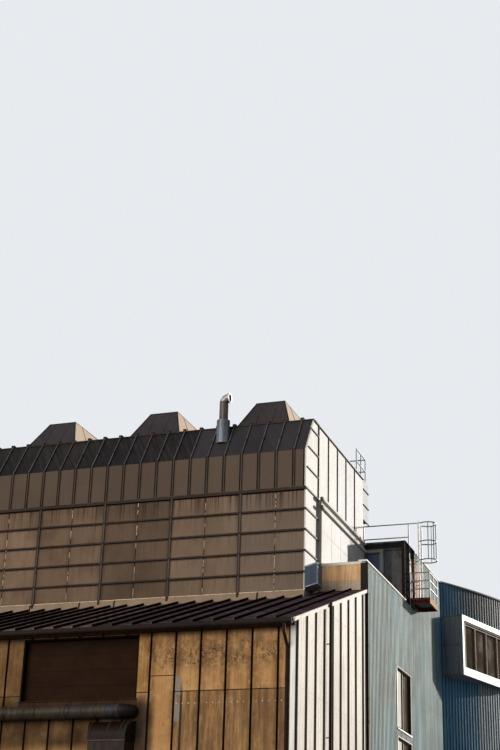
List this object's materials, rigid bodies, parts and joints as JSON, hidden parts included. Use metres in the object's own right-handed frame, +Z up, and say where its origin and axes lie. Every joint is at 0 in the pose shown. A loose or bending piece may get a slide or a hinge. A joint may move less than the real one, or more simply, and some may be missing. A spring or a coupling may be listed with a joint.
{
  "type": "factory building",
  "caption": "Metal-clad factory building with a mansard-fronted upper hall, roof monitors, a lean-to front, a side block with a caged ladder and a curved rear wing with a bay window.",
  "frame": {"origin": "middle of the bounding box, at ground level", "axes": "+X to the right along the front, +Y from the front to the back, +Z up"},
  "size_m": [20.9091, 27.56, 22.0098],
  "materials": {
    "ochre_panels": "weathered satin",
    "brown_cladding": "weathered matt",
    "charcoal_sheet": "weathered matt",
    "cream_cladding": "satin, sun bleached",
    "white_sheet": "satin, streaked",
    "blue_sheet": "faded satin, streaked",
    "navy_sheet": "faded satin, streaked",
    "beige_panels": "weathered satin",
    "blue_grey_sheet": "satin",
    "dark_metal": "weathered matt",
    "dark_boards": "matt",
    "galvanised": "galvanised, dull",
    "rust_plate": "red lead, rusty",
    "frame_paint": "satin, chalky",
    "window_glass": "clear, dusty",
    "concrete": "bare concrete, matt"
  },
  "bodies": {
    "root": {"front_wall_right": "ochre_panels", "front_wall_middle": "ochre_panels", "front_wall_left": "ochre_panels", "recess_panels": "dark_boards", "roller_shutter": "galvanised", "steel_doors": "blue_grey_sheet", "white_side_wall": "white_sheet", "blue_side_wall": "blue_sheet", "window_frames": "frame_paint", "window_glass": "window_glass", "parapet_front": "beige_panels", "side_flashings": "white_sheet", "side_roof": "charcoal_sheet", "lean_to_roof": "charcoal_sheet", "front_gutter": "dark_metal", "downpipes": "dark_metal", "upper_front_wall": "brown_cladding", "front_cladding_rails": "dark_metal", "mansard_slope": "charcoal_sheet", "mansard_ribs": "charcoal_sheet", "upper_side_wall": "cream_cladding", "side_battens": "cream_cladding", "upper_rear_wall": "brown_cladding", "rear_eave_box": "cream_cladding", "upper_roof": "charcoal_sheet", "roof_monitors": "charcoal_sheet", "gooseneck_vent": "galvanised", "corner_hood": "blue_grey_sheet", "wall_duct": "dark_metal", "fan_box": "dark_metal", "penthouse_wall": "dark_boards", "platform": "rust_plate", "platform_rail": "galvanised", "ladder": "galvanised", "ladder_cage": "galvanised", "roof_rails": "galvanised", "rear_roof": "charcoal_sheet", "rear_wall": "navy_sheet", "wing_wall": "navy_sheet", "bay_shell": "blue_grey_sheet", "bay_frame": "frame_paint", "floor_slabs": "concrete", "hall_columns": "dark_metal", "hall_girders": "dark_metal", "party_wall": "concrete"}
  },
  "joints": []
}
